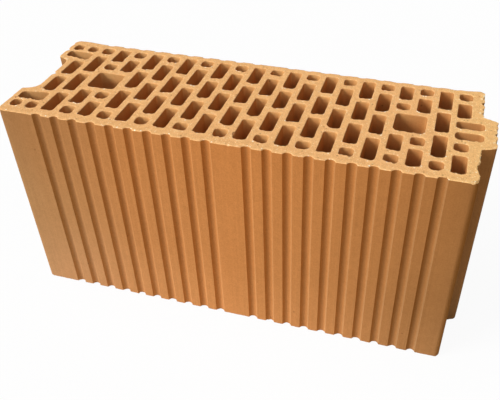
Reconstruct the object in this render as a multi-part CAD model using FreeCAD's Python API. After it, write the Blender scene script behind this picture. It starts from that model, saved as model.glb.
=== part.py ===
import FreeCAD, Part
import math
import os

# A vertically perforated clay block with a tongue at one end and a groove at the other.
# Millimetres. +X runs along the block towards the tongue, +Y across the wall, +Z up.
# The origin is at the middle of the overall box, on the lower bed face.

# Body, without the tongue
LENGTH = 498.0
WIDTH = 175.0
HEIGHT = 249.0
CORNER_RADIUS = 6.5

# Tongue, and the groove that takes the tongue of the next block
TONGUE_DEPTH = 14.5
TONGUE_WIDTH = 60.6
TONGUE_TAPER = 5.4
TONGUE_TIP_RADIUS = 4.0
JOINT_END_PLAY = 1.0
JOINT_SIDE_PLAY = 9.3
ROOT_RADIUS = 3.0
GROOVE_ROOT_RADIUS = 12.0
LIP_RADIUS = 3.0

# Cutting marks: small V notches down both ends
NOTCH_DEPTH = 3.3
NOTCH_WIDTH = 8.0

# Keying grooves for plaster, on both faces, with a plain strip in the middle
KEY_PITCH = 20.95
KEY_MOUTH = 10.4
KEY_DEPTH = 3.5
KEY_END_STRIP = 25.0

# Walls and webs between the cells
FACE_WALL = 9.5
TONGUE_END_WALL = 12.3
TONGUE_TIP_WALL = 12.7
GROOVE_WALL = 7.4
FLANK_WALL = 6.0
LAND_WALL = 6.0
CROSS_WEB = 7.1
LAST_CROSS_WEB = 6.2
LONG_WEB = 7.8
LAND_WEB = 4.5

# Cells
COLUMNS = 22
LONG_CELLS = 3
SMALL_CELL = 13.8
GRIP_DEPTH = 33.3
GRIP_WIDTH = 32.6
GRIP_COLUMN = 3
CELL_RADIUS = 3.2
SMALL_CELL_RADIUS = 4.4

# Places along the block
overall = LENGTH + TONGUE_DEPTH
groove_end = -overall / 2
tongue_face = groove_end + LENGTH
tongue_tip = tongue_face + TONGUE_DEPTH
groove_floor = groove_end + TONGUE_DEPTH + JOINT_END_PLAY

# Half sizes across the wall
face = WIDTH / 2
field = face - KEY_DEPTH - FACE_WALL
tongue_root_half = TONGUE_WIDTH / 2
tongue_tip_half = tongue_root_half - TONGUE_TAPER
groove_mouth_half = tongue_root_half + JOINT_SIDE_PLAY
groove_floor_half = tongue_tip_half + JOINT_SIDE_PLAY
shoulder_middle = (tongue_root_half + face) / 2

# Columns of cells, from the groove's floor to the tongue's face
first_cell = groove_floor + GROOVE_WALL
last_cell = tongue_face - TONGUE_END_WALL
column_pitch = (last_cell - first_cell + 2 * CROSS_WEB - LAST_CROSS_WEB) / COLUMNS
cell_width = column_pitch - CROSS_WEB


def column_start(column):
    """X where the cells of a column start, with column 1 next to the groove."""
    if column == COLUMNS:
        return last_cell - cell_width
    return first_cell + (column - 1) * column_pitch


def mirrored(corners):
    """A chain of (x, y, radius) corners that ends on the block's middle line, and its other half."""
    there = list(corners)
    back = [(x, -y, radius) for x, y, radius in reversed(there)]
    return there + back[1:]


def rounded_chain(corners):
    """Edges through (x, y, radius) corners, each corner rounded by an arc tangent to its two sides."""
    edges = []
    start = FreeCAD.Vector(corners[0][0], corners[0][1], 0)
    for before, corner, after in zip(corners, corners[1:], corners[2:]):
        point = FreeCAD.Vector(corner[0], corner[1], 0)
        to_before = (FreeCAD.Vector(before[0], before[1], 0) - point).normalize()
        to_after = (FreeCAD.Vector(after[0], after[1], 0) - point).normalize()
        radius = corner[2]
        if radius == 0:
            edges.append(Part.makeLine(start, point))
            start = point
            continue
        half_angle = to_before.getAngle(to_after) / 2
        arc_start = point + to_before * (radius / math.tan(half_angle))
        arc_end = point + to_after * (radius / math.tan(half_angle))
        inwards = (to_before + to_after).normalize()
        arc_middle = point + inwards * (radius / math.sin(half_angle) - radius)
        if start.distanceToPoint(arc_start) > 1e-6:
            edges.append(Part.makeLine(start, arc_start))
        edges.append(Part.Arc(arc_start, arc_middle, arc_end).toShape())
        start = arc_end
    end = FreeCAD.Vector(corners[-1][0], corners[-1][1], 0)
    if start.distanceToPoint(end) > 1e-6:
        edges.append(Part.makeLine(start, end))
    return edges


def key_places():
    """Middles of the keying grooves on one face, from the groove end to the tongue end."""
    room = tongue_face - KEY_END_STRIP - KEY_MOUTH / 2
    each_side = int(room / KEY_PITCH)
    steps = [k for k in range(-each_side, each_side + 1) if k != 0]
    return [k * KEY_PITCH for k in steps]


def keyed_face(y):
    """Edges of one face at y, from its first keying groove to its last, in the direction of +X."""
    into_block = -math.copysign(KEY_DEPTH, y)
    edges = []
    last = None
    for middle in key_places():
        start = FreeCAD.Vector(middle - KEY_MOUTH / 2, y, 0)
        bottom = FreeCAD.Vector(middle, y + into_block, 0)
        end = FreeCAD.Vector(middle + KEY_MOUTH / 2, y, 0)
        if last is not None:
            edges.append(Part.makeLine(last, start))
        edges.append(Part.Arc(start, bottom, end).toShape())
        last = end
    return edges


def tongue_end():
    """Edges of the tongue end, from the front face to the back face."""
    return rounded_chain(mirrored([
        (key_places()[-1] + KEY_MOUTH / 2, -face, 0),
        (tongue_face, -face, CORNER_RADIUS),
        (tongue_face, -shoulder_middle - NOTCH_WIDTH / 2, 0),
        (tongue_face - NOTCH_DEPTH, -shoulder_middle, 0),
        (tongue_face, -shoulder_middle + NOTCH_WIDTH / 2, 0),
        (tongue_face, -tongue_root_half, ROOT_RADIUS),
        (tongue_tip, -tongue_tip_half, TONGUE_TIP_RADIUS),
        (tongue_tip, -NOTCH_WIDTH / 2, 0),
        (tongue_tip - NOTCH_DEPTH, 0, 0),
    ]))


def groove_end_outline():
    """Edges of the groove end, from the front face to the back face."""
    return rounded_chain(mirrored([
        (key_places()[0] - KEY_MOUTH / 2, -face, 0),
        (groove_end, -face, CORNER_RADIUS),
        (groove_end, -shoulder_middle - NOTCH_WIDTH / 2, 0),
        (groove_end + NOTCH_DEPTH, -shoulder_middle, 0),
        (groove_end, -shoulder_middle + NOTCH_WIDTH / 2, 0),
        (groove_end, -groove_mouth_half, LIP_RADIUS),
        (groove_floor, -groove_floor_half, GROOVE_ROOT_RADIUS),
        (groove_floor, -NOTCH_WIDTH / 2, 0),
        (groove_floor + NOTCH_DEPTH, 0, 0),
    ]))


def outline():
    """The block's outer wire."""
    edges = keyed_face(-face) + tongue_end() + keyed_face(face) + groove_end_outline()
    return Part.Wire(Part.__sortEdges__(edges))


def cell(corners, wanted_radius):
    """A closed cell with rounded corners, through (x, y) corners in order."""
    sides = [math.dist(a, b) for a, b in zip(corners, corners[1:] + corners[:1])]
    radius = min(wanted_radius, 0.45 * min(sides))
    first, second = corners[0], corners[1]
    seam = ((first[0] + second[0]) / 2, (first[1] + second[1]) / 2, 0)
    around = [(x, y, radius) for x, y in corners[1:] + corners[:1]]
    return Part.Wire(rounded_chain([seam] + around + [seam]))


def box_cell(x_start, x_end, y_start, y_end, radius=SMALL_CELL_RADIUS):
    """A cell with sides along X and Y."""
    return cell([(x_start, y_start), (x_end, y_start), (x_end, y_end), (x_start, y_end)], radius)


def stacked_cells(x_start, x_end, y_start, sizes):
    """Cells of these (depth, corner radius) sizes, one behind the other, with a web between neighbours."""
    cells = []
    for depth, radius in sizes:
        cells.append(box_cell(x_start, x_end, y_start, y_start + depth, radius))
        y_start += depth + LONG_WEB
    return cells


def staggered(column, sizes):
    """The same sizes from the front in even columns and from the back in odd ones."""
    return sizes if column % 2 == 0 else sizes[::-1]


def ordinary_column(column):
    """A column of long cells with one small cell, at the back in even columns."""
    long_cell = (2 * field - SMALL_CELL - LONG_CELLS * LONG_WEB) / LONG_CELLS
    sizes = staggered(column, [(long_cell, CELL_RADIUS)] * LONG_CELLS + [(SMALL_CELL, SMALL_CELL_RADIUS)])
    start = column_start(column)
    return stacked_cells(start, start + cell_width, -field, sizes)


def column_with_a_middle(column):
    """Cells in front of and behind a middle opening: a short and a small one each time."""
    short_cell = field - GRIP_DEPTH / 2 - SMALL_CELL - 2 * LONG_WEB
    sizes = staggered(column, [(short_cell, CELL_RADIUS), (SMALL_CELL, SMALL_CELL_RADIUS)])
    start = column_start(column)
    in_front = stacked_cells(start, start + cell_width, -field, sizes)
    behind = stacked_cells(start, start + cell_width, GRIP_DEPTH / 2 + LONG_WEB, sizes)
    return in_front + behind


def grip_hole(column):
    """The wide hole that a hand or a grab goes into, across this column and the next."""
    middle = (column_start(column) + column_start(column + 1) + cell_width) / 2
    start = middle - GRIP_WIDTH / 2
    return [box_cell(start, start + GRIP_WIDTH, -GRIP_DEPTH / 2, GRIP_DEPTH / 2)]


def tongue_slots(column):
    """Two slots of the last column that reach into the tongue."""
    depth = (GRIP_DEPTH - LONG_WEB) / 2
    start = column_start(column)
    return stacked_cells(start, tongue_tip - TONGUE_TIP_WALL, -GRIP_DEPTH / 2, [(depth, SMALL_CELL_RADIUS)] * 2)


def groove_end_cells():
    """Cells around the groove: two slots at its floor and three cells in each land beside it."""
    slot_start = first_cell
    slot_end = first_cell + cell_width
    slot_reach = groove_floor_half + FLANK_WALL - LAND_WEB
    land_start = groove_end + LAND_WALL
    land_cell_width = (slot_end - land_start - CROSS_WEB) / 2
    narrow_edge = groove_mouth_half + FLANK_WALL
    wide_edge = groove_floor_half + FLANK_WALL
    land_cell_depth = (field - narrow_edge - LAND_WEB) / 2
    cells = []
    for side in (-1, 1):
        near, far = sorted([side * LONG_WEB / 2, side * slot_reach])
        cells.append(box_cell(slot_start, slot_end, near, far))
        outer_edge = side * (narrow_edge + land_cell_depth)
        flank_cell = [
            (land_start, outer_edge),
            (slot_end, outer_edge),
            (slot_end, side * wide_edge),
            (land_start, side * narrow_edge),
        ]
        cells.append(cell(flank_cell, SMALL_CELL_RADIUS))
        near, far = sorted([side * (field - land_cell_depth), side * field])
        cells.append(box_cell(land_start, land_start + land_cell_width, near, far))
        cells.append(box_cell(slot_end - land_cell_width, slot_end, near, far))
    return cells


def all_cells():
    """Every cell of the block."""
    grips = [GRIP_COLUMN, COLUMNS - GRIP_COLUMN]
    beside_grips = grips + [column + 1 for column in grips]
    cells = groove_end_cells()
    for column in range(2, COLUMNS):
        if column in beside_grips:
            cells += column_with_a_middle(column)
        else:
            cells += ordinary_column(column)
    for column in grips:
        cells += grip_hole(column)
    return cells + column_with_a_middle(COLUMNS) + tongue_slots(COLUMNS)


def clay_block():
    """The fired block: its section, drawn once and run up to its height."""
    section = Part.makeFace([outline()] + all_cells(), "Part::FaceMakerBullseye")
    return section.extrude(FreeCAD.Vector(0, 0, HEIGHT))


block = clay_block()
os.makedirs("parts", exist_ok=True)
block.exportStep("parts/clay_block.step")
box = block.BoundBox
print("clay_block", "valid", block.isValid(), "solids", len(block.Solids), "faces", len(block.Faces))
print("size", round(box.XLength, 2), round(box.YLength, 2), round(box.ZLength, 2))
print("volume in litres", round(block.Volume / 1e6, 3), "cell width", round(cell_width, 2))
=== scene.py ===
# %% [markdown]
# # A hollow clay block
#
# The object is a fired clay block for walls. A press pushes soft clay through a die, a wire cuts the strand into
# blocks, a kiln turns them orange, and a grinding wheel levels the two bed faces at the end. Each step leaves its own
# mark, and this lesson makes them one by one: the smooth skin that slid along the die, the colour of the fire, and
# the pale sandy face with chipped rims that the wheel leaves.
#
# Its solid stays untouched as a reference.

# %% Load the CAD model
import math
import bmesh
import bpy
import numpy as np
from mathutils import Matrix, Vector, geometry, kdtree, noise


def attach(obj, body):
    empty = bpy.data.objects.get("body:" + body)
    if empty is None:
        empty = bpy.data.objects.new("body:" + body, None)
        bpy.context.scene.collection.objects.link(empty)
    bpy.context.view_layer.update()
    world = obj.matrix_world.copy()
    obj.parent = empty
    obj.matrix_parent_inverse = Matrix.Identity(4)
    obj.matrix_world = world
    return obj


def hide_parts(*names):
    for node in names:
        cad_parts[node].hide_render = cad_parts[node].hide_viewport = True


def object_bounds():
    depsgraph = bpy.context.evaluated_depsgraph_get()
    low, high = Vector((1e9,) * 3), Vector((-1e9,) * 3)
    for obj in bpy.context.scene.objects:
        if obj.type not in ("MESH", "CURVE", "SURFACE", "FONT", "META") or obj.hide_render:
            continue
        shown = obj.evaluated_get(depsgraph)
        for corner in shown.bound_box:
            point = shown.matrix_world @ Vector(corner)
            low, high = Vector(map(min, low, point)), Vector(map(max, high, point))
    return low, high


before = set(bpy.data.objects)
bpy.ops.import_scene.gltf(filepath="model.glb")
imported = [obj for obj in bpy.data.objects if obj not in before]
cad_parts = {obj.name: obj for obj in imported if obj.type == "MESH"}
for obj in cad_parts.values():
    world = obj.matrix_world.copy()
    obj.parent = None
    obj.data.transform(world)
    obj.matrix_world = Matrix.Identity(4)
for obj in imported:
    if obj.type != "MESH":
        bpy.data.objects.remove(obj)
cad_low, cad_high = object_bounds()
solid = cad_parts["clay_block"]
MM = 0.001
rng = np.random.default_rng(31)
print("CAD box in mm", [round(x / MM, 1) for x in cad_low], [round(x / MM, 1) for x in cad_high])

# %% [markdown]
# ## The section
#
# An extruded block has the same section from bed to bed, so everything starts from the lines around its upper face.
# The solid's triangles hold them: an edge with a flat top face on one side and a wall on the other belongs to a
# rim. Walking along such edges with the clay always on the left gives one closed loop for the outline and one for
# each cell. The section could be drawn anew, but reading it keeps the visible block exactly as large as the solid.

# %% Read the rims of the upper face
def rims_of(node):
    """Closed loops of XY points around the upper face, with the clay on their left, the outline first."""
    copy = bmesh.new()
    copy.from_mesh(node.data)
    bmesh.ops.remove_doubles(copy, verts=copy.verts[:], dist=1e-6)
    top = max(vert.co.z for vert in copy.verts)
    upper = [face for face in copy.faces if min(vert.co.z for vert in face.verts) > top - 1e-5]
    among_upper = set(upper)
    following = {}
    for face in upper:
        for corner in face.loops:
            if any(other not in among_upper for other in corner.edge.link_faces):
                following[corner.vert] = corner.link_loop_next.vert
    loops = []
    while following:
        here = next(iter(following))
        points = []
        while here in following:
            points.append((here.co.x, here.co.y))
            here = following.pop(here)
        loops.append(np.array(points))
    copy.free()
    return sorted(loops, key=lambda points: (-round(np.ptp(points[:, 0]), 3), *points.mean(axis=0)))


section = rims_of(solid)
print("rims", len(section), "of them cells", len(section) - 1)

# %% [markdown]
# ## Even points
#
# CAD curves come as few, uneven points. Broken edges need points at an even, small distance, so each loop is walked
# again in equal steps. The keying grooves of this block have crisp edges, and steps that jump over a corner would cut
# it off. So the walk starts anew at each sharp corner. The cells have none, and averaging each of their points with
# its neighbours takes the facets out of their round corners.

# %% Walk a loop in equal steps
SHARP_TURN = math.radians(35)
RIM_STEP = 1.15 * MM


def sharp_corners(points):
    """Numbers of the points where a closed loop makes a sharp turn."""
    before = points - np.roll(points, 1, axis=0)
    after = np.roll(points, -1, axis=0) - points
    turn = np.arctan2(before[:, 0] * after[:, 1] - before[:, 1] * after[:, 0], (before * after).sum(axis=1))
    return np.flatnonzero(np.abs(turn) > SHARP_TURN)


def even_points(points, spacing):
    """Points in nearly equal steps along a closed loop that keep its sharp corners."""
    corners = sharp_corners(points)
    if not len(corners):
        corners = np.array([0])
    walked = []
    for first, last in zip(corners, np.append(corners[1:], corners[0] + len(points))):
        stretch = points.take(range(first, last + 1), axis=0, mode="wrap")
        run = np.concatenate([[0.0], np.cumsum(np.linalg.norm(np.diff(stretch, axis=0), axis=1))])
        places = np.linspace(0.0, run[-1], max(2, round(run[-1] / spacing)), endpoint=False)
        walked.append(np.column_stack([np.interp(places, run, stretch[:, axis]) for axis in (0, 1)]))
    return np.vstack(walked)


def averaged(values, passes):
    """Values around a closed loop, each one averaged with its two neighbours."""
    for _ in range(passes):
        values = (np.roll(values, 1, axis=0) + 2 * values + np.roll(values, -1, axis=0)) / 4
    return values


def into_clay(points):
    """Directions from the rim into the clay."""
    along = np.roll(points, -1, axis=0) - np.roll(points, 1, axis=0)
    along /= np.linalg.norm(along, axis=1)[:, None]
    return np.column_stack([-along[:, 1], along[:, 0]])


fine_section = [even_points(section[0], RIM_STEP)]
fine_section += [averaged(even_points(points, RIM_STEP), 1) for points in section[1:]]
print("sharp corners of the outline", len(sharp_corners(section[0])))
print("rim points", sum(len(points) for points in fine_section))

# %% [markdown]
# ## What the grinding wheel breaks
#
# A wheel that grinds fired clay presses crumbs out where it leaves the clay and rubs the rim round where it comes in.
# So the front rim of each cell is ragged and has lost about a millimetre, more so near the two ends of this block,
# while the back rim is soft. The end with the tongue is ragged too. Smoothed random numbers draw the ragged line, and
# chips are added on top: small ones anywhere, and larger ones at the places where this block has lost a piece.

# %% Ragged rims and chips
def rise(values, low, high):
    """0 below low, 1 above high, and a smooth change in between."""
    part = np.clip((values - low) / (high - low), 0, 1)
    return part * part * (3 - 2 * part)


def wander(count, passes):
    """Random numbers that change smoothly around a loop, with a spread of 1."""
    values = averaged(rng.normal(size=count), passes)
    return values / values.std()


def chips(count, how_many, half_width, depth):
    """Depth of small chips at random places on a rim, in metres."""
    gone = np.zeros(count)
    for _ in range(how_many):
        steps = np.abs((np.arange(count) - rng.integers(count) + count / 2) % count - count / 2)
        reach = steps * RIM_STEP / (half_width * rng.uniform(0.4, 1.0))
        gone = np.maximum(gone, depth * rng.uniform(0.3, 1.0) * np.clip(1 - reach**2, 0, None))
    return gone


# x, y, half width, depth into the clay and height of the larger chips, in millimetres
BROKEN_OUT = [
    (241.6, -63.5, 4.6, 3.3, 5.0),
    (241.6, -68.0, 2.4, 1.4, 2.5),
    (241.6, -71.5, 2.4, 0.8, 1.5),
    (241.4, -83.0, 4.5, 1.6, 2.0),
    (237.0, -87.4, 3.0, 0.9, 1.5),
    (241.6, -54.0, 2.4, 0.9, 1.5),
    (241.6, -45.0, 2.2, 0.8, 1.5),
    (241.6, -37.0, 2.4, 0.8, 1.5),
    (241.6, 69.0, 2.2, 1.9, 7.0),
    (241.6, 46.5, 2.2, 1.8, 7.0),
    (241.6, 37.0, 2.0, 1.7, 7.0),
    (256.0, 9.0, 3.0, 0.8, 2.0),
    (256.0, -12.0, 4.0, 0.7, 2.0),
    (3.0, -66.0, 3.6, 2.4, 2.0),
    (2.3, -87.4, 1.8, 1.2, 1.0),
    (-189.6, -50.5, 2.6, 1.3, 1.5),
    (-234.6, -33.0, 2.4, 1.2, 1.5),
]


def broken_out(points):
    """Depth and height of the larger chips near these rim points, in metres."""
    gone = np.zeros(len(points))
    down = np.zeros(len(points))
    for x, y, half_width, depth, height in BROKEN_OUT:
        reach = np.linalg.norm(points - np.array([x, y]) * MM, axis=1) / (half_width * MM)
        part = np.clip(1 - reach**2, 0, None)
        gone = np.maximum(gone, depth * MM * part)
        down = np.maximum(down, height * MM * part)
    return gone, down


print("larger chips", len(BROKEN_OUT))

# %% [markdown]
# ## Rings down the walls
#
# The block is one closed skin of triangles. Each loop of the section becomes a stack of rings: a few that turn from
# the ground face down into the wall, one where the damage has died out, and then plain rings down to the other face.
# Neighbouring rings are zipped together with triangles. The rings are fine where the eye looks, at the upper rims,
# and coarse deep inside the cells. Cutting the cells with boolean modifiers would be less work, but it leaves long
# thin triangles that can't be chipped.

# %% Rings and the zip between them
GROUND, SKIN, CELL = 0, 1, 2
spots = []
triangles = []
finishes = []
pale_rim = []


def ring(points, height, rim=0.0):
    """Adds a ring of vertices and gives their numbers."""
    first = len(spots)
    heights = np.broadcast_to(height, len(points))
    spots.extend(zip(points[:, 0], points[:, 1], heights))
    pale_rim.extend(np.broadcast_to(rim, len(points)))
    return np.arange(first, len(spots))


def zip_rings(upper, lower, finish):
    """Triangles between two rings that start side by side and are walked the same way."""
    i = 0
    j = 0
    while i < len(upper) or j < len(lower):
        a = upper[i % len(upper)]
        b = lower[j % len(lower)]
        if (i + 1) * len(lower) <= (j + 1) * len(upper):
            i += 1
            triangles.append((a, b, upper[i % len(upper)]))
        else:
            j += 1
            triangles.append((a, b, lower[j % len(lower)]))
        finishes.append(finish)


print("numbers of the finishes: ground", GROUND, "skin", SKIN, "cell", CELL)

# %% [markdown]
# ## How far a rim is rounded
#
# Handling rubs the edges of a block. On this one, the upper back edge has lost most: it is rounded over about four
# millimetres, and the ribs between the back grooves have lost more than the grooves, so that their scallops are faint
# from above. A bevel modifier would round all edges alike, so the radius is worked out point by point. The back edge
# is worn straight towards the front, and not along the wall's own direction, so that neighbouring points never cross.
# At the groove end, smeared clay fills the upper end of the front notch.

# %% Wear
EDGE_RADIUS = 0.6 * MM
BACK_EXTRA_RADIUS = 3.9 * MM
BACK_STARTS, BACK_FULL = 66 * MM, 83.5 * MM
CELL_RADIUS = 0.35 * MM
GROOVE_DEPTH = 3.5 * MM
NOTCH_X, NOTCH_Y = cad_low.x, -58.9 * MM
NOTCH_DEPTH = 6 * MM
NOTCH_FILLED = 0.85


def roundness(points, normal, outline, inwards):
    """Radius of the worn rim at each point, how much more its ribs have lost, both in metres, and the direction into
    the clay in which it is worn."""
    if not outline:
        return CELL_RADIUS * (1 + np.clip(normal[:, 1], 0, 1)), np.zeros(len(points)), normal
    x, y = points.T
    back = rise(y, BACK_STARTS, BACK_FULL) * (inwards < 0)
    ribs = np.clip(y - (cad_high.y - GROOVE_DEPTH), 0, None)
    lost_share = 0.5 + 0.2 * rise(x, -100 * MM, 120 * MM)
    more = back * ribs * lost_share * rise(np.abs(x), 238 * MM, 220 * MM)
    straight = np.array([0.0, -1.0])
    return EDGE_RADIUS + BACK_EXTRA_RADIUS * back, more, normal * (1 - back)[:, None] + straight * back[:, None]


def smeared_shut(points):
    """The same outline with the front notch of the groove end filled by smeared clay."""
    near = rise(np.abs(points[:, 1] - NOTCH_Y), 5.5 * MM, 4.2 * MM) * (points[:, 0] < NOTCH_X + NOTCH_DEPTH)
    filled = points.copy()
    filled[:, 0] += near * NOTCH_FILLED * (NOTCH_X - points[:, 0])
    return filled


print("radius of the edges in mm", EDGE_RADIUS / MM, "and at the back", (EDGE_RADIUS + BACK_EXTRA_RADIUS) / MM)

# %% [markdown]
# ## A dressed rim
#
# A rim is dressed with a few rings. They follow a quarter circle from the flat face (turn 0) to the wall (turn 1), and
# each is pushed into the clay by what the rim has lost there. In tight corners of the outline there is no room for a
# ragged line, so it is held back where the direction bends quickly. Between two cells the clay is thin, and a rim that
# lost much more than two millimetres would break into its neighbour, so that is the limit for cells.

# %% Dress one rim
RAGGED, RAGGED_LEAVING = 0.1 * MM, 0.42 * MM
LOST_MIDDLE, LOST_MORE_AT_ENDS = 0.4 * MM, 1.0 * MM
CHIP_EVERY, CHIP_HALF_WIDTH, CHIP_DEPTH = 60 * MM, 2.4 * MM, 0.9 * MM
OUTLINE_LIMIT, CELL_LIMIT = 12 * MM, 2.1 * MM
RIM_SUNK, RIM_UNEVEN, DAMAGE_ENDS = 0.04 * MM, 0.12 * MM, 2.0 * MM


def losses(points, normal, outline, inwards):
    """The ragged line, the loss into the clay and the loss of height along a rim, in metres, and how pale it is."""
    count = len(points)
    bend = np.linalg.norm(np.roll(normal, 1, axis=0) - np.roll(normal, -1, axis=0), axis=1)
    room = averaged(rise(bend, 1.1, 0.4), 2) if outline else np.ones(count)
    leaving = np.clip(-normal[:, 0] if outline else -normal[:, 1], 0, 1)
    crumbly = np.maximum(leaving, 0.8 * np.clip(normal[:, 1], 0, 1)) if outline else leaving
    ragged = room * (RAGGED + RAGGED_LEAVING * leaving) * (0.8 * wander(count, 1) + 0.8 * wander(count, 7))
    small = chips(count, round(count * RIM_STEP / CHIP_EVERY), CHIP_HALF_WIDTH, CHIP_DEPTH)
    small *= 0.35 + 0.65 * leaving
    at_ends = rise(np.abs(points[:, 0]), 120 * MM, 220 * MM)
    lost = np.zeros(count) if outline else leaving * (LOST_MIDDLE + LOST_MORE_AT_ENDS * at_ends)
    large, down = broken_out(points) if inwards < 0 else (0.0, 0.0)
    pale = 0.35 + 0.65 * crumbly * np.clip(0.5 + 0.8 * wander(count, 3), 0, 1)
    return ragged, lost + np.maximum(small, large), down + 0.8 * (small + lost), pale


def dressed_rim(points, face_z, inwards, outline, turns):
    """Rings around a rim at face_z: one for each turn from the face (0) to the wall (1), and one where the damage
    ends. inwards is -1 for the upper face and +1 for the lower one."""
    normal = into_clay(points)
    radius, more, direction = roundness(points, normal, outline, inwards)
    ragged, gone, down, pale = losses(points, normal, outline, inwards)
    rings = []
    for turn in turns:
        angle = turn * math.pi / 2
        out = radius * (1 - math.sin(angle)) + more * (1 - turn**2) + (ragged + gone) * (1 - 0.45 * turn)
        out = np.minimum(out, OUTLINE_LIMIT if outline else CELL_LIMIT)
        uneven = RIM_UNEVEN * np.abs(wander(len(points), 2))
        drop = RIM_SUNK + radius * (1 - math.cos(angle)) + turn * (uneven + down)
        rings.append(ring(points + direction * out[:, None], face_z + inwards * drop, pale * (1 - 0.3 * turn)))
    deepest = radius + down + DAMAGE_ENDS
    return rings + [ring(points + normal * (0.1 * ragged)[:, None], face_z + inwards * deepest)]


print("most that a cell's rim loses, in mm", CELL_LIMIT / MM)

# %% [markdown]
# ## Walls from bed to bed
#
# Now every loop gets its stack: the dressed rings of the upper rim, plain rings down the wall, and the dressed rings
# of the lower rim. The outer skin has ten plain rings, moved a tenth of a millimetre in or out by slow noise, because
# no pressed wall is quite flat. The cells need only two, with wider steps around them, because nobody sees far down
# into a cell. This keeps the block light enough for other scenes.

# %% Build the walls
TOP_Z = cad_high.z
BOTTOM_Z = cad_low.z
LOWER_STEP = 2.4 * MM
NOT_FLAT = 0.12 * MM
OUTLINE_TURNS, CELL_TURNS, LOWER_TURNS = (0, 0.3, 0.6, 1), (0, 0.45, 1), (0, 1)
SKIN_HEIGHTS = np.linspace(TOP_Z - 18 * MM, BOTTOM_Z + 14 * MM, 10)
CELL_HEIGHTS = (TOP_Z - 12 * MM, BOTTOM_Z + 12 * MM)


def plain_ring(points, height):
    """A ring on a wall that isn't quite flat."""
    wobble = [noise.noise(Vector((x * 25, y * 25, height * 8))) for x, y in points]
    return ring(points + into_clay(points) * (NOT_FLAT * np.array(wobble))[:, None], height)


upper_rims = []
lower_rims = []
for number, points in enumerate(fine_section):
    outline = number == 0
    lower_points = points if outline else even_points(section[number], LOWER_STEP)
    upper_points = smeared_shut(points) if outline else points
    upper = dressed_rim(upper_points, TOP_Z, -1, outline, OUTLINE_TURNS if outline else CELL_TURNS)
    lower = dressed_rim(lower_points, BOTTOM_Z, 1, outline, LOWER_TURNS)
    plain = [plain_ring(lower_points, height) for height in (SKIN_HEIGHTS if outline else CELL_HEIGHTS)]
    stack = upper + plain + lower[::-1]
    last = len(stack) - 2
    for k, (above, below) in enumerate(zip(stack, stack[1:])):
        on_bed = k < len(upper) - 2 or k == last
        zip_rings(above, below, GROUND if on_bed else SKIN if outline else CELL)
    upper_rims.append(upper[0])
    lower_rims.append(lower[0])
print("wall triangles", len(triangles))

# %% [markdown]
# ## The sandy ground faces
#
# Between the rims, a ground face gets points on a shaken grid. They sit a little higher or lower at random, with small
# pits where the wheel pulled a grain out and a few larger holes at known places, which get extra points of their own.
# A plain flat face with a bump map would look as good from far away, but its edge and its holes would stay flat from
# the side.

# %% Points on a ground face
# x, y, radius and depth of the holes in the upper face, in millimetres
HOLES = [
    (235.8, 73.8, 1.3, 3.0),
    (-250.6, -59.6, 1.4, 3.0),
    (231.5, 70.5, 0.7, 1.2),
    (206.0, 8.0, 0.8, 1.2),
    (152.0, -62.0, 0.8, 1.0),
    (186.5, -57.0, 0.8, 1.0),
]
TORN_REACH = 4.5 * MM


def hole_points(x, y, radius):
    """Points for one hole: its middle, a steep ring inside its edge and the edge itself."""
    turns = np.linspace(0, 2 * math.pi, 10, endpoint=False)
    circle = np.column_stack([np.cos(turns), np.sin(turns)]) * rng.uniform(0.85, 1.15, (10, 1))
    return MM * np.vstack([[(x, y)], (x, y) + 0.62 * radius * circle, (x, y) + radius * circle])


def face_points(rims, spacing, holes):
    """XY points on a shaken grid inside the clay, clear of the rims, and how near each lies to a torn rim."""
    rim_xy = [np.array([spots[k][:2] for k in rim]) for rim in rims]
    rim_points = np.vstack(rim_xy)
    rim_normals = np.vstack([into_clay(points) for points in rim_xy])
    torn = np.array([pale_rim[k] for rim in rims for k in rim])
    tree = kdtree.KDTree(len(rim_points))
    for k, (x, y) in enumerate(rim_points):
        tree.insert((x, y, 0), k)
    tree.balance()
    shaken = [
        np.array([x, y]) + rng.uniform(-0.35, 0.35, 2) * spacing
        for x in np.arange(cad_low.x, cad_high.x, spacing)
        for y in np.arange(cad_low.y, cad_high.y, spacing)
    ]
    for x, y, radius, _ in holes:
        shaken = [place for place in shaken if math.dist(place, (x * MM, y * MM)) > 1.5 * radius * MM]
        shaken.extend(hole_points(x, y, radius))
    kept = []
    near = []
    for place in shaken:
        _, k, gap = tree.find((place[0], place[1], 0))
        if gap > 0.6 * spacing and (place - rim_points[k]) @ rim_normals[k] > 0:
            kept.append(place)
            near.append(torn[k] * max(0.0, 1 - gap / TORN_REACH))
    return np.array(kept), np.array(near)


def sandy_depth(points, pits, holes):
    """How far each point of a ground face lies under the block's end, in metres."""
    coarse = np.array([noise.noise(Vector((x * 120, y * 120, 3.0))) for x, y in points])
    fine = np.array([noise.noise(Vector((x * 420, y * 420, 9.0))) for x, y in points])
    depth = MM * (0.16 + 0.1 * coarse + 0.1 * fine)
    for x, y in points[rng.choice(len(points), pits, replace=False)]:
        reach = np.linalg.norm(points - (x, y), axis=1) / (MM * rng.uniform(0.9, 1.9))
        depth += MM * rng.uniform(0.15, 0.5) * np.clip(1 - reach**2, 0, None)
    for x, y, radius, deep in holes:
        reach = np.linalg.norm(points - np.array([x, y]) * MM, axis=1) / (radius * MM)
        depth += MM * deep * rise(reach, 0.84, 0.66)
    return np.maximum(depth, 0.02 * MM)


print("holes in the upper face", len(HOLES))

# %% [markdown]
# ## Filling a face
#
# A Delaunay triangulation joins the points of a face with its rims. Blender's `delaunay_2d_cdt` keeps every rim as a
# chain of edges, so the face fits the walls point for point. It fills the cells as well. A triangle whose three
# corners lie on the same rim can be inside a cell or outside the outline, so the middle of each such triangle is
# tested. If two rims cross, the face can't be closed, and the script stops and says where.

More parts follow.
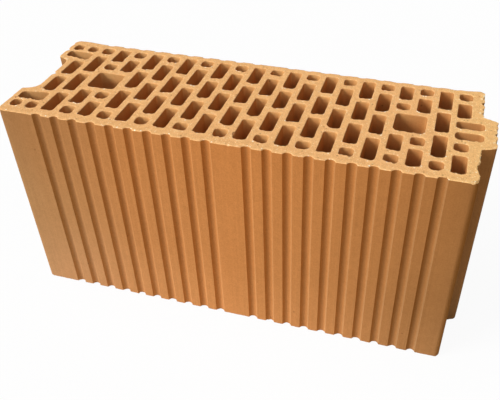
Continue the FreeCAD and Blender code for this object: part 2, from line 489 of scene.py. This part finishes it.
# %% Fill the ground faces
def inside(points, loop):
    """Which points lie inside a closed loop."""
    found = np.zeros(len(points), bool)
    for (ax, ay), (bx, by) in zip(loop, np.roll(loop, -1, axis=0)):
        if ay == by:
            continue
        crosses = (ay > points[:, 1]) != (by > points[:, 1])
        found ^= crosses & (points[:, 0] < (bx - ax) * (points[:, 1] - ay) / (by - ay) + ax)
    return found


def fill_face(rims, face_z, inwards, spacing, pits, holes=()):
    """Adds triangles over a ground face, between its rims, and gives their number."""
    inner, near_rim = face_points(rims, spacing, holes)
    inner_numbers = ring(inner, face_z + inwards * sandy_depth(inner, pits, holes), near_rim)
    numbers = np.concatenate(rims + [inner_numbers])
    xy = np.array([spots[k][:2] for k in numbers])
    rim_of = np.concatenate([np.full(len(rim), k) for k, rim in enumerate(rims)] + [np.full(len(inner), -1)])
    starts = np.cumsum([0] + [len(rim) for rim in rims])
    edges = []
    for start, rim in zip(starts.tolist(), rims):
        edges += [(start + k, start + (k + 1) % len(rim)) for k in range(len(rim))]
    mesh = geometry.delaunay_2d_cdt([Vector(place) for place in xy / MM], edges, [], 0, 1e-6)
    crossings = [tuple(round(x, 1) for x in place) for place, origin in zip(mesh[0], mesh[3]) if not origin]
    if crossings:
        raise ValueError(f"rims cross at {crossings}")
    source = np.array([origin[0] for origin in mesh[3]])
    made = source[np.array(mesh[2])]
    a, b, c = (xy[made[:, k]] for k in range(3))
    turn = (b[:, 0] - a[:, 0]) * (c[:, 1] - a[:, 1]) - (b[:, 1] - a[:, 1]) * (c[:, 0] - a[:, 0])
    made[turn * inwards > 0] = made[turn * inwards > 0][:, ::-1]
    keep = np.ones(len(made), bool)
    owner = rim_of[made]
    middle = (a + b + c) / 3
    for k, (start, rim) in enumerate(zip(starts, rims)):
        within = np.flatnonzero((owner == k).all(axis=1))
        keep[within] = inside(middle[within], xy[start:start + len(rim)]) == (k == 0)
    triangles.extend(map(tuple, numbers[made[keep]]))
    finishes.extend([GROUND] * int(keep.sum()))
    return int(keep.sum())


print("upper face triangles", fill_face(upper_rims, TOP_Z, -1, spacing=1.6 * MM, pits=180, holes=HOLES))
print("lower face triangles", fill_face(lower_rims, BOTTOM_Z, 1, spacing=3.2 * MM, pits=80))

# %% [markdown]
# ## One closed piece
#
# The rings and faces share their vertices, so they make one watertight mesh. A number on each vertex, called
# `pale_rim`, remembers how torn the rim is there, and the finish of the ground face reads it later. Shading is smooth
# except where two triangles meet at a sharp angle, so that rounded corners look round and broken edges look broken.

# %% Make the block
def block_piece(name):
    """The visible block as one mesh object."""
    mesh = bpy.data.meshes.new(name)
    mesh.from_pydata(spots, [], [tuple(int(k) for k in face) for face in triangles])
    mesh.polygons.foreach_set("material_index", finishes)
    rim = mesh.attributes.new("pale_rim", "FLOAT", "POINT")
    rim.data.foreach_set("value", np.array(pale_rim, dtype=np.float32))
    mesh.shade_smooth()
    mesh.set_sharp_from_angle(angle=math.radians(38))
    piece = bpy.data.objects.new(name, mesh)
    bpy.context.scene.collection.objects.link(piece)
    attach(piece, "root")
    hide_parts("clay_block")
    return piece


block = block_piece("fired_clay_block")
check = bmesh.new()
check.from_mesh(block.data)
open_edges = sum(1 for edge in check.edges if len(edge.link_faces) != 2)
check.free()
print("block triangles", len(block.data.polygons), "open edges", open_edges)

# %% [markdown]
# ## Building with nodes
#
# Every finish is made of shader nodes. A few small helpers keep the cells short: the first puts a node in a tree and
# fills its sockets, and the last two open a node group with named inputs and outputs and place it in a material. An
# effect that several finishes share, such as grain, is such a group, so that it is built once and each finish sets
# its own values.

# %% Node helpers
def put(tree, kind, sockets=None, **settings):
    """A new shader node. Sockets are given by name or number, as a value or as another node's output."""
    node = tree.nodes.new("ShaderNode" + kind)
    for key, value in settings.items():
        setattr(node, key, value)
    for key, value in (sockets or {}).items():
        if isinstance(value, bpy.types.NodeSocket):
            tree.links.new(value, node.inputs[key])
        else:
            node.inputs[key].default_value = value
    return node


def maths(tree, operation, first, second=0.0):
    """The result of a calculation with one or two values."""
    return put(tree, "Math", {0: first, 1: second}, operation=operation).outputs[0]


def between(tree, value, low, high):
    """0 where the value is below low, 1 where it is above high, and a smooth change in between."""
    sockets = {"Value": value, "From Min": low, "From Max": high}
    return put(tree, "MapRange", sockets, interpolation_type="SMOOTHSTEP").outputs["Result"]


def blended(tree, amount, first, second, blend_type="MIX"):
    """Two colours mixed."""
    mix = put(tree, "Mix", {0: amount, 6: first, 7: second}, data_type="RGBA", blend_type=blend_type)
    return mix.outputs[2]


def tinted(tree, amount, colour, tint):
    """A colour, multiplied by a tint where the amount is 1."""
    return blended(tree, amount, colour, blended(tree, 1.0, colour, tint, "MULTIPLY"))


def stops(tree, value, *colours):
    """A colour ramp through (position, colour) stops."""
    ramp = put(tree, "ValToRGB", {0: value})
    for position, colour in colours[2:]:
        ramp.color_ramp.elements.new(position)
    for element, (position, colour) in zip(ramp.color_ramp.elements, colours):
        element.position = position
        element.color = (*colour, 1)
    return ramp.outputs[0]


def stretched(tree, along_x, along_y, along_z):
    """The block's own coordinates, multiplied along each axis."""
    place = put(tree, "TexCoord").outputs["Object"]
    return put(tree, "Mapping", {"Vector": place, "Scale": (along_x, along_y, along_z)}).outputs[0]


def block_axes(tree):
    """A node with the block's own X, Y and Z as outputs."""
    return put(tree, "SeparateXYZ", {0: stretched(tree, 1, 1, 1)})


def open_group(name, inputs, outputs, kind="NodeSocketFloat"):
    """An empty node group with named inputs (name, value) and outputs (names, all of one kind)."""
    group = bpy.data.node_groups.new(name, "ShaderNodeTree")
    for label, value in inputs:
        group.interface.new_socket(label, in_out="INPUT", socket_type="NodeSocketFloat").default_value = value
    for label in outputs:
        group.interface.new_socket(label, in_out="OUTPUT", socket_type=kind)
    return group, group.nodes.new("NodeGroupInput"), group.nodes.new("NodeGroupOutput")


def use_group(tree, group, **values):
    """A group placed in a material, with its own values."""
    node = put(tree, "Group")
    node.node_tree = group
    for label, value in values.items():
        node.inputs[label.replace("_", " ")].default_value = value
    return node


print("node groups so far", len(bpy.data.node_groups))

# %% [markdown]
# ## Grain
#
# Fired clay is full of sand. An image could show it, but noise has no seams and needs no file. Two layers of noise,
# one at the size of grains and one a few millimetres wide, give the tone of the surface and its height. Pale grains
# and dark pits come from Voronoi cells: each cell has a random number, and only the few with a low number show a dot
# in their middle.

# %% Grain group
def grain_group():
    """Tone and height of sandy clay, with masks for pale grains and dark pits."""
    group, given, result = open_group(
        "sandy_grain",
        [("Grains per metre", 900.0), ("Pale share", 0.1), ("Pit share", 0.06)],
        ["Tone", "Height", "Pale grains", "Pits"],
    )
    place = put(group, "TexCoord").outputs["Object"]
    size = given.outputs["Grains per metre"]
    fine = put(group, "TexNoise", {"Vector": place, "Scale": size, "Detail": 3.0, "Roughness": 0.65}).outputs[0]
    coarse_size = maths(group, "MULTIPLY", size, 0.22)
    coarse = put(group, "TexNoise", {"Vector": place, "Scale": coarse_size, "Detail": 2.0}).outputs[0]
    tone = maths(group, "ADD", maths(group, "MULTIPLY", fine, 0.75), maths(group, "MULTIPLY", coarse, 0.25))

    def dots(cells_per_grain, share, widest):
        """A mask of dots in this share of the Voronoi cells."""
        cell_size = maths(group, "MULTIPLY", size, cells_per_grain)
        cells = put(group, "TexVoronoi", {"Vector": place, "Scale": cell_size})
        number = put(group, "SeparateColor", {0: cells.outputs["Color"]}).outputs[0]
        middle = between(group, cells.outputs["Distance"], widest, 0.45 * widest)
        return maths(group, "MULTIPLY", maths(group, "LESS_THAN", number, share), middle)

    pale = dots(0.55, given.outputs["Pale share"], 0.42)
    pits = dots(0.34, given.outputs["Pit share"], 0.36)
    height = maths(group, "SUBTRACT", tone, maths(group, "MULTIPLY", pits, 0.9))
    for label, value in (("Tone", tone), ("Height", height), ("Pale grains", pale), ("Pits", pits)):
        group.links.new(value, result.inputs[label])
    return group


grain = grain_group()
print("grain group nodes", len(grain.nodes))

# %% [markdown]
# ## The fire, and painted light at the foot
#
# No kiln heats a block evenly. The groove end of this one came out tan, the middle orange and the tongue end a dark
# ochre. The foot is painted paler than the top, most of all at the groove end, as painted light from the floor. Three
# ramps, one along the block, one upwards and one upwards at the groove end alone, hold these colours as multipliers
# around white, and slow noise bends their borders so that no straight line shows. The strength socket lets the
# ground faces and the cells take less of it than the skin.

# %% Kiln group
def kiln_and_foot_light_group():
    """A colour to multiply a finish by, from the groove end to the tongue end, and painted light from the foot to the
    top.
    """
    group, given, result = open_group("kiln_colour_and_foot_light", [("Strength", 1.0)], ["Tint"], "NodeSocketColor")
    place = block_axes(group)
    slow = put(group, "TexNoise", {"Vector": stretched(group, 7, 7, 4), "Scale": 1.0, "Detail": 2.0}).outputs[0]
    bend = maths(group, "MULTIPLY", maths(group, "SUBTRACT", slow, 0.5), 0.1)

    def share(axis, low, high):
        """How far a point lies from one end of the block to the other, with the borders bent."""
        bent = maths(group, "ADD", place.outputs[axis], bend)
        return put(group, "MapRange", {"Value": bent, "From Min": low, "From Max": high}).outputs[0]

    along = share("X", cad_low.x, cad_high.x)
    upwards = share("Z", BOTTOM_Z, TOP_Z)
    lengthwise = stops(
        group,
        along,
        (0.0, (0.785, 1.02, 1.38)),
        (0.27, (0.95, 1.0, 1.09)),
        (0.5, (1.0, 1.0, 1.0)),
        (0.73, (0.88, 0.91, 0.94)),
        (1.0, (0.58, 0.65, 0.71)),
    )
    # Painted light: paler and bluer towards the foot, as if lit by the floor.
    painted_foot_light = stops(
        group,
        upwards,
        (0.0, (1.13, 1.23, 1.40)),
        (0.4, (1.02, 1.04, 1.07)),
        (1.0, (1.01, 0.97, 0.9)),
    )
    # Painted light at the groove end: paler at the foot and darker at the top.
    painted_foot_light_at_groove_end = stops(
        group,
        upwards,
        (0.0, (1.08, 1.03, 1.04)),
        (0.5, (1.0, 1.0, 1.0)),
        (1.0, (0.86, 0.86, 0.88)),
    )
    tint = blended(group, 1.0, lengthwise, painted_foot_light, "MULTIPLY")
    tint = tinted(group, between(group, along, 0.3, 0.03), tint, painted_foot_light_at_groove_end)
    mixed = blended(group, given.outputs["Strength"], (1, 1, 1, 1), tint)
    group.links.new(mixed, result.inputs["Tint"])
    return group


kiln_and_foot_light = kiln_and_foot_light_group()
print("kiln group nodes", len(kiln_and_foot_light.nodes))

# %% [markdown]
# ## Marks of the die
#
# Clay slides along the die and takes fine lines in the direction of pressing, which is up and down on the standing
# block. They are far finer than any triangle of the mesh, so a material draws them: noise that is squeezed across the
# block and left long in height.

# %% Drag line group
def drag_group():
    """Fine lines up and down the skin, as a value around 0.5."""
    group, given, result = open_group("drag_lines", [("Lines per metre", 420.0)], ["Lines"])
    lines = put(group, "TexNoise", {
        "Vector": stretched(group, 1, 1, 0.012),
        "Scale": given.outputs["Lines per metre"],
        "Detail": 3.0,
        "Roughness": 0.6,
    }).outputs[0]
    group.links.new(lines, result.inputs["Lines"])
    return group


drag = drag_group()
print("drag line group nodes", len(drag.nodes))

# %% [markdown]
# ## Painted light on the walls
#
# Some walls are tinted by the way they face the main lamp: this is painted light and shade. In the cells, the
# walls that face the front are painted paler near the beds only, as if lit by the window, and less so at the tongue
# end. In the keying grooves, the sides that face the groove end are painted paler as a highlight, and the sides that
# face the tongue end are painted darker and redder as shade. Such masks are often painted by hand. Here it is enough
# to read where a point lies and which way its wall faces. The group puts out one mask for each of the three, and
# skin and cells mix them in with their own colours.

# %% Dust group
def painted_light_mask_group():
    """Masks of painted light: lit cell walls near the beds, and the shaded and lit sides of the keying grooves."""
    group, given, result = open_group("groove_and_cell_painted_light", [("Reach", 18 * MM)], ["Lit cell walls", "Shaded groove side", "Lit groove side"])
    place = block_axes(group)
    facing = put(group, "SeparateXYZ", {0: put(group, "TexCoord").outputs["Normal"]})
    to_front = between(group, facing.outputs["Y"], -0.1, -0.8)
    to_tongue_end = between(group, facing.outputs["X"], 0.0, 0.85)
    to_groove_end = between(group, facing.outputs["X"], -0.35, -0.9)
    off_middle = maths(group, "ABSOLUTE", maths(group, "SUBTRACT", place.outputs["Z"], (TOP_Z + BOTTOM_Z) / 2))
    under_bed = maths(group, "SUBTRACT", (TOP_Z - BOTTOM_Z) / 2, off_middle)
    near_bed = between(group, under_bed, given.outputs["Reach"], 1 * MM)
    less_at_tongue = maths(group, "ADD", 0.25, between(group, place.outputs["X"], 220 * MM, 0.0))
    # Painted light: cell walls that face the front are paler near the beds, where the window light falls, less so at
    # the tongue end.
    lit_cell_walls = maths(group, "MULTIPLY", maths(group, "MULTIPLY", near_bed, less_at_tongue), to_front)
    off_axis = maths(group, "ABSOLUTE", place.outputs["Y"])
    in_groove = between(group, off_axis, cad_high.y - 8.5 * MM, cad_high.y - 5.5 * MM)
    # Painted shade on groove sides that face the tongue end, away from the lamp, and painted highlight on those facing
    # the groove end.
    painted_shade = maths(group, "MULTIPLY", in_groove, to_tongue_end)
    painted_highlight = maths(group, "MULTIPLY", in_groove, to_groove_end)
    for label, value in (("Lit cell walls", lit_cell_walls), ("Shaded groove side", painted_shade), ("Lit groove side", painted_highlight)):
        group.links.new(value, result.inputs[label])
    return group


painted_light_masks = painted_light_mask_group()
print("dust group nodes", len(painted_light_masks.nodes))

# %% [markdown]
# ## The ground face
#
# Where the wheel went, the clay is open: pale, dry and full of grains. The finish goes from a darker sand to a paler
# one with the grain's tone, then sets pale grains and dark pits on it. Along torn rims, fresh crumbs catch the light.
# They are the same grain group again with larger grains, shown only where `pale_rim` is high. Towards the tongue end,
# the open clay of this block is a little more golden.

# %% Finish of the ground faces
DARK_SAND, PALE_SAND = (0.70, 0.350, 0.132), (0.975, 0.55, 0.232)
PALE_GRAIN = (0.97, 0.76, 0.45, 1)
OPEN_PIT = (0.36, 0.16, 0.05, 1)
TORN_RIM = (0.95, 0.60, 0.27, 1)
FRESH_CRUMB = (1.0, 0.90, 0.68, 1)
GOLDEN = (1.02, 1.09, 1.06, 1)


def clay_finish(name, roughness):
    """An empty material with its shader, ready for colours. Fired clay has no shine."""
    material = bpy.data.materials.new(name)
    material.use_nodes = True
    shader = material.node_tree.nodes["Principled BSDF"]
    shader.inputs["Roughness"].default_value = roughness
    shader.inputs["Specular IOR Level"].default_value = 0.0
    return material, material.node_tree, shader


def ground_finish():
    """Pale, sandy clay where the wheel went."""
    material, tree, shader = clay_finish("ground_bed_clay", 0.92)
    sand = use_group(tree, grain, Grains_per_metre=860.0, Pale_share=0.2, Pit_share=0.06)
    crumbs = use_group(tree, grain, Grains_per_metre=620.0, Pale_share=0.36, Pit_share=0.02)
    rim = put(tree, "Attribute", attribute_name="pale_rim").outputs["Fac"]
    colour = stops(tree, sand.outputs["Tone"], (0.38, DARK_SAND), (0.62, PALE_SAND))
    colour = blended(tree, maths(tree, "MULTIPLY", sand.outputs["Pale grains"], 0.65), colour, PALE_GRAIN)
    colour = blended(tree, maths(tree, "MULTIPLY", sand.outputs["Pits"], 0.7), colour, OPEN_PIT)
    colour = blended(tree, maths(tree, "MULTIPLY", rim, 0.35), colour, TORN_RIM)
    bright = maths(tree, "MULTIPLY", crumbs.outputs["Pale grains"], between(tree, rim, 0.2, 0.6))
    colour = blended(tree, bright, colour, FRESH_CRUMB)
    at_tongue = between(tree, block_axes(tree).outputs["X"], 170 * MM, 250 * MM)
    colour = tinted(tree, at_tongue, colour, GOLDEN)
    tint = use_group(tree, kiln_and_foot_light, Strength=0.02).outputs["Tint"]
    tree.links.new(blended(tree, 1.0, colour, tint, "MULTIPLY"), shader.inputs["Base Color"])
    bump = put(tree, "Bump", {"Height": sand.outputs["Height"], "Strength": 0.7, "Distance": 0.7 * MM})
    tree.links.new(bump.outputs[0], shader.inputs["Normal"])
    return material


ground = ground_finish()
print("finish", ground.name)

# %% [markdown]
# ## The skin
#
# The faces and ends slid along the die, so they are denser and smoother than the beds, and take the full kiln colour
# and painted foot light. Drag lines and a little grain vary the tone, and a weak bump keeps the light from lying flat
# on them. The sides of the keying grooves get painted shade and a painted highlight. Bare clay has no shine at all.
# Even a weak one would lay a grey veil over the dark sides of the grooves, so it is switched off.
#
# The cells slid along the die's cores and are made in the same way, with less of the kiln colour and foot light, and
# with painted light near the beds. So one function makes both finishes, and each gives its own colours and its own
# tints for the masks of painted light.

# %% Finish of the outer skin and of the cells
SKIN_PIT = (0.22, 0.08, 0.03, 1)
# Painted shade (darker, redder) and painted highlight (paler) for the two sides of the keying grooves.
GROOVE_SIDE_PAINTED_LIGHT = {"Shaded groove side": (0.90, 0.80, 0.58, 1), "Lit groove side": (1.04, 1.2, 1.45, 1)}
# Painted light on cell walls that face the front, near the beds.
CELL_WALL_PAINTED_LIGHT = {"Lit cell walls": (1.24, 1.5, 1.7, 1)}


def pressed_finish(name, deep, pale, kiln_and_foot_light_strength, painted_light_tints):
    """Smooth clay that slid along the die. painted_light_tints gives a tint for each mask of painted light that is
    used.
    """
    material, tree, shader = clay_finish(name, 0.8)
    sand = use_group(tree, grain, Grains_per_metre=700.0, Pale_share=0.02, Pit_share=0.004)
    lines = use_group(tree, drag, Lines_per_metre=420.0).outputs["Lines"]
    sandy_part = maths(tree, "MULTIPLY", sand.outputs["Tone"], 0.75)
    tone = maths(tree, "ADD", sandy_part, maths(tree, "MULTIPLY", lines, 0.25))
    colour = stops(tree, tone, (0.34, deep), (0.66, pale))
    colour = blended(tree, maths(tree, "MULTIPLY", sand.outputs["Pits"], 0.5), colour, SKIN_PIT)
    masks = use_group(tree, painted_light_masks, Reach=18 * MM).outputs
    for label, painted_tint in painted_light_tints.items():
        colour = tinted(tree, masks[label], colour, painted_tint)
    tint = use_group(tree, kiln_and_foot_light, Strength=kiln_and_foot_light_strength).outputs["Tint"]
    tree.links.new(blended(tree, 1.0, colour, tint, "MULTIPLY"), shader.inputs["Base Color"])
    bump = put(tree, "Bump", {"Height": tone, "Strength": 0.35, "Distance": 0.4 * MM})
    tree.links.new(bump.outputs[0], shader.inputs["Normal"])
    return material


skin = pressed_finish("pressed_skin", (0.455, 0.176, 0.050), (0.597, 0.237, 0.070), 1.0, GROOVE_SIDE_PAINTED_LIGHT)
cells = pressed_finish("cell_walls", (0.565, 0.245, 0.078), (0.645, 0.287, 0.093), 0.15, CELL_WALL_PAINTED_LIGHT)
for finish in (ground, skin, cells):
    block.data.materials.append(finish)
print("finishes on the block", [material.name for material in block.data.materials])

# %% [markdown]
# ## The stage
#
# The block stands on a white floor in a white room. Stronger lamps could turn a floor white, but they would bleach the
# block too. So floor and room are white only for rays that come straight from the camera, or by way of a mirror or
# glass. A small share of the floor's real shading is left in, so that a faint shadow still shows where the block
# stands. All other rays see an ordinary pale floor, which throws some light back onto the block's foot.

# %% Floor and room
def seen_directly(tree):
    """1 for rays from the camera, from mirrors and through glass, and 0 for light on its way around the room."""
    path = put(tree, "LightPath")
    seen = maths(tree, "MAXIMUM", path.outputs["Is Camera Ray"], path.outputs["Is Glossy Ray"])
    return maths(tree, "MAXIMUM", seen, path.outputs["Is Transmission Ray"])


def white_floor(size, white_share):
    """A large pale floor under the block."""
    mesh = bpy.data.meshes.new("white_floor")
    half = size / 2
    z = cad_low.z - 0.3 * MM
    mesh.from_pydata([(-half, -half, z), (half, -half, z), (half, half, z), (-half, half, z)], [], [(0, 1, 2, 3)])
    floor = bpy.data.objects.new("white_floor", mesh)
    bpy.context.scene.collection.objects.link(floor)
    material = bpy.data.materials.new("floor_white")
    material.use_nodes = True
    tree = material.node_tree
    tree.nodes.remove(tree.nodes["Principled BSDF"])
    paint = put(tree, "BsdfDiffuse", {"Color": (0.8, 0.8, 0.8, 1)}).outputs[0]
    white = put(tree, "Emission", {"Color": (1, 1, 1, 1), "Strength": 1.0}).outputs[0]
    amount = maths(tree, "MULTIPLY", seen_directly(tree), white_share)
    both = put(tree, "MixShader", {0: amount, 1: paint, 2: white}).outputs[0]
    tree.links.new(both, tree.nodes["Material Output"].inputs["Surface"])
    mesh.materials.append(material)
    return floor


def white_room(strength):
    """White for the camera, and a soft even light for everything else."""
    world = bpy.data.worlds.new("white_room")
    bpy.context.scene.world = world
    world.use_nodes = True
    tree = world.node_tree
    level = put(tree, "Mix", {0: seen_directly(tree), 2: strength, 3: 1.0}).outputs[0]
    tree.nodes["Background"].inputs["Color"].default_value = (1, 1, 1, 1)
    tree.links.new(level, tree.nodes["Background"].inputs["Strength"])
    return world


floor = white_floor(60.0, 0.94)
room = white_room(0.02)
print("floor", floor.name, "room", room.name)

# %% [markdown]
# ## Light
#
# The main light comes from the left of the front, as from a window. It grazes the keying grooves, so that each has a
# dark and a bright side, and reaches a little way down the cells. A weaker light from above brightens the upper face,
# and two faint ones from the room keep the front and the tongue end from going black. Sun lamps are used because their
# light doesn't fade across the block, and their angle sets how soft the shadows are. A level of 1 means that a white
# face turned towards the lamp is just white.

# %% Lamps
def soft_lamp(name, towards_left, up, level, softness):
    """A broad, even lamp. It stands this many degrees from the front towards the left and this many up."""
    data = bpy.data.lights.new(name, "SUN")
    data.energy = math.pi * level
    data.angle = math.radians(softness)
    lamp = bpy.data.objects.new(name, data)
    turn = math.radians(towards_left)
    lift = math.radians(up)
    towards = (-math.sin(turn) * math.cos(lift), -math.cos(turn) * math.cos(lift), math.sin(lift))
    lamp.rotation_euler = Vector(towards).to_track_quat("Z", "Y").to_euler()
    bpy.context.scene.collection.objects.link(lamp)
    return lamp


lamps = [
    soft_lamp("window", 55, 30, 0.88, 28),
    soft_lamp("ceiling", 60, 75, 0.43, 50),
    soft_lamp("room_front", 0, 22, 0.11, 60),
    soft_lamp("room_right", -65, 35, 0.12, 60),
]
print("lamps", [lamp.name for lamp in lamps])

# %% [markdown]
# ## The camera
#
# The view is the photographer's: above the front edge, a little towards the tongue end, with the upright edges running
# together downwards. Lens, place and turn were worked out from the straight edges and the grid of cells. The small
# sideways shift stands for a picture that was cropped after it was taken.

# %% Camera
def photo_camera():
    """The camera at the photographer's place."""
    data = bpy.data.cameras.new("photo_camera")
    data.sensor_width = 36.0
    data.lens = 46.4
    data.shift_x = -0.0632
    camera = bpy.data.objects.new("photo_camera", data)
    camera.location = (0.1936, -0.5767, 0.6019)
    camera.rotation_euler = [math.radians(turn) for turn in (51.071, 0.149, 15.475)]
    bpy.context.scene.collection.objects.link(camera)
    bpy.context.scene.camera = camera
    return camera


camera = photo_camera()
bpy.context.scene.view_settings.view_transform = "Standard"
print("camera at", [round(x, 3) for x in camera.location])
